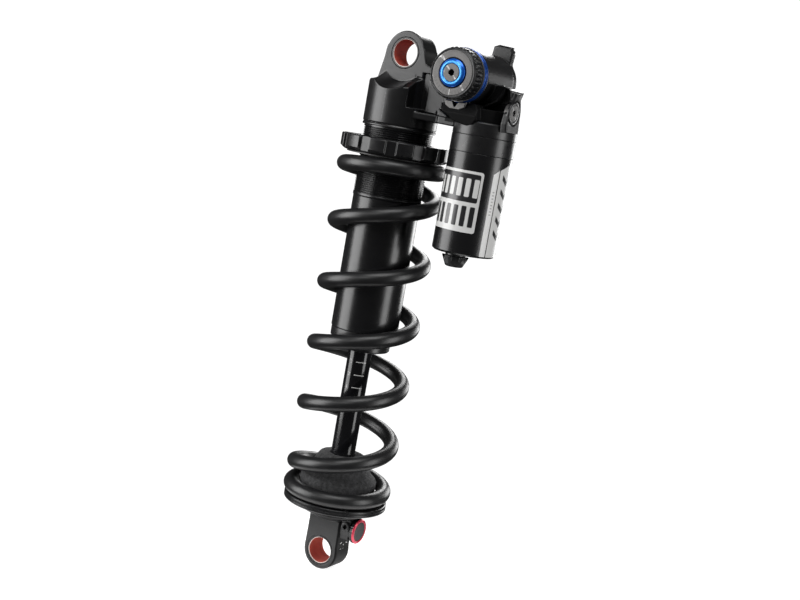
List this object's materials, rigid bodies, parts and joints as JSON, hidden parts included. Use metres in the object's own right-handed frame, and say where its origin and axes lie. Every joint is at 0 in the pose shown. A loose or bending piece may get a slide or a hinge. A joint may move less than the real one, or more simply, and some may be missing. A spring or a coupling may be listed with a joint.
{
  "type": "rear shock",
  "caption": "Coil-sprung bicycle rear shock: damper with piggyback reservoir, adjuster dials, preload collar, sliding shaft and an eye at each end.",
  "frame": {"origin": "centre of the lower eye", "axes": "+Z to the upper eye, +Y along both eye bores away from the dials, +X towards the reservoir"},
  "size_m": [0.0893, 0.0542, 0.2715],
  "materials": {
    "black_anodised": "satin black anodised aluminium",
    "black_tube": "semi-gloss black anodised tube",
    "spring_coat": "semi-matt black powder-coated spring steel",
    "shaft_coat": "polished black-coated steel",
    "bushing_red": "brick-red glide liner",
    "bumper_foam": "dark open-grained foam",
    "red_anodised": "satin red anodised",
    "blue_anodised": "satin blue anodised",
    "grey_anodised": "brushed grey anodised",
    "bare_aluminium": "bare machined",
    "bolt_steel": "dark zinc-plated steel",
    "valve_brass": "machined brass",
    "seal_rubber": "smooth nitrile rubber",
    "bearing_liner": "filled bearing polymer",
    "nylon": "black nylon",
    "black_plastic": "moulded black plastic"
  },
  "bodies": {
    "damper": {"damper_head": "black_anodised", "upper_bushing": "bushing_red", "damper_body": "black_tube", "seal_head": "black_anodised", "shaft_bushing": "bearing_liner", "shaft_seal": "seal_rubber", "shaft_wiper": "seal_rubber", "seal_head_oring": "seal_rubber", "bottom_out_cup": "bare_aluminium", "coil_spring": "spring_coat", "reservoir_tube": "black_tube", "reservoir_collar": "black_anodised", "reservoir_oring": "seal_rubber", "air_valve_body": "valve_brass", "air_valve_core": "valve_brass", "barrel_ring_blue": "blue_anodised", "barrel_ring_grey": "grey_anodised", "dial_detent_ball": "bolt_steel", "index_plate": "grey_anodised", "base_valve_piston": "bare_aluminium", "base_valve_shims": "bolt_steel", "base_valve_sleeve": "bare_aluminium", "barrel_plug": "bare_aluminium", "lever_bushing": "bearing_liner"},
    "shaft_assembly": {"shaft": "shaft_coat", "lower_eyelet": "black_anodised", "lower_bushing": "bushing_red", "rebound_detent_ball": "bolt_steel", "spring_retainer": "black_anodised", "retainer_clip": "bolt_steel", "bottom_out_bumper": "bumper_foam", "top_out_ring": "seal_rubber", "rebound_shims": "bolt_steel", "main_piston": "bare_aluminium", "piston_band": "bearing_liner", "compression_shims": "bolt_steel", "piston_nut": "bolt_steel", "bottom_out_piston": "bare_aluminium"},
    "rebound_knob": {"rebound_knob": "red_anodised", "rebound_knob_cap": "black_plastic"},
    "rebound_needle": {"rebound_needle": "bolt_steel"},
    "high_speed_rebound": {"high_speed_rebound_screw": "bolt_steel"},
    "floating_piston": {"floating_piston": "bare_aluminium", "floating_piston_seal": "seal_rubber", "floating_piston_screw": "bolt_steel"},
    "preload_washer": {"preload_washer": "nylon"},
    "preload_collar": {"preload_collar": "black_anodised"},
    "high_speed_dial": {"high_speed_dial": "black_anodised", "dial_face": "grey_anodised"},
    "low_speed_knob": {"low_speed_knob": "blue_anodised", "low_speed_screw": "grey_anodised"},
    "low_speed_needle": {"low_speed_needle": "bolt_steel"},
    "threshold_lever": {"threshold_lever": "black_anodised"},
    "bottom_out_adjuster": {"bottom_out_adjuster": "grey_anodised"},
    "valve_cap_seal": {"valve_cap_seal": "seal_rubber"},
    "valve_cap": {"valve_cap": "black_plastic"}
  },
  "joints": [
    {"name": "shaft_stroke", "type": "slide", "parent": "damper", "child": "shaft_assembly", "axis": [0, 0, 1], "range_m": [0, 0.075], "stiffness_N_per_m": 70000, "deforming": ["coil_spring", "bottom_out_bumper"]},
    {"name": "floating_piston_slide", "type": "slide", "parent": "damper", "child": "floating_piston", "axis": [0, 0, -1], "range_m": [0, 0.016]},
    {"name": "preload_collar_turn", "type": "hinge", "parent": "preload_washer", "child": "preload_collar", "pos_m": [0, 0, 0.2044], "axis": [0, 0, 1], "range_deg": [0, 1440]},
    {"name": "preload_travel", "type": "slide", "parent": "damper", "child": "preload_washer", "axis": [0, 0, 1], "range_m": [0, 0.004]},
    {"name": "high_speed_dial_turn", "type": "hinge", "parent": "damper", "child": "high_speed_dial", "pos_m": [0.0366, -0.02, 0.24335], "axis": [0, -1, 0], "range_deg": [-60, 60]},
    {"name": "low_speed_knob_turn", "type": "hinge", "parent": "damper", "child": "low_speed_knob", "pos_m": [0.0366, -0.024, 0.24335], "axis": [0, -1, 0], "range_deg": [-60, 60]},
    {"name": "low_speed_needle_slide", "type": "slide", "parent": "damper", "child": "low_speed_needle", "axis": [0, 1, 0], "range_m": [-0.0006, 0.0006]},
    {"name": "threshold_lever_turn", "type": "hinge", "parent": "damper", "child": "threshold_lever", "pos_m": [0.0366, 0.017, 0.24335], "axis": [0, 1, 0], "range_deg": [0, 50]},
    {"name": "bottom_out_adjuster_turn", "type": "hinge", "parent": "damper", "child": "bottom_out_adjuster", "pos_m": [0.0617, -0.0052, 0.2303], "axis": [1, 0, 0], "range_deg": [-72, 72]},
    {"name": "rebound_knob_turn", "type": "hinge", "parent": "shaft_assembly", "child": "rebound_knob", "pos_m": [0.015, 0, 0.0139], "axis": [1, 0, 0], "range_deg": [-180, 180]},
    {"name": "rebound_needle_slide", "type": "slide", "parent": "shaft_assembly", "child": "rebound_needle", "axis": [0, 0, 1], "range_m": [-0.0008, 0.0008]},
    {"name": "high_speed_rebound_turn", "type": "hinge", "parent": "shaft_assembly", "child": "high_speed_rebound", "pos_m": [0.0121, -0.005, 0.016], "axis": [0, -1, 0], "range_deg": [-72, 72]},
    {"name": "valve_cap_turn", "type": "hinge", "parent": "valve_cap_seal", "child": "valve_cap", "pos_m": [0.0433, -0.0016, 0.157], "axis": [0, 0, -1], "range_deg": [0, 1620]},
    {"name": "valve_cap_travel", "type": "slide", "parent": "damper", "child": "valve_cap_seal", "axis": [0, 0, -1], "range_m": [0, 0.0036]}
  ],
  "couplings": [
    {"joint": "floating_piston_slide", "follows": "shaft_stroke", "ratio": 0.20049},
    {"joint": "preload_collar_turn", "follows": "preload_travel", "rad_per_m": 6283.2},
    {"joint": "low_speed_knob_turn", "follows": "low_speed_needle_slide", "rad_per_m": 1745.3},
    {"joint": "rebound_knob_turn", "follows": "rebound_needle_slide", "rad_per_m": 3927},
    {"joint": "valve_cap_turn", "follows": "valve_cap_travel", "rad_per_m": 7854}
  ]
}
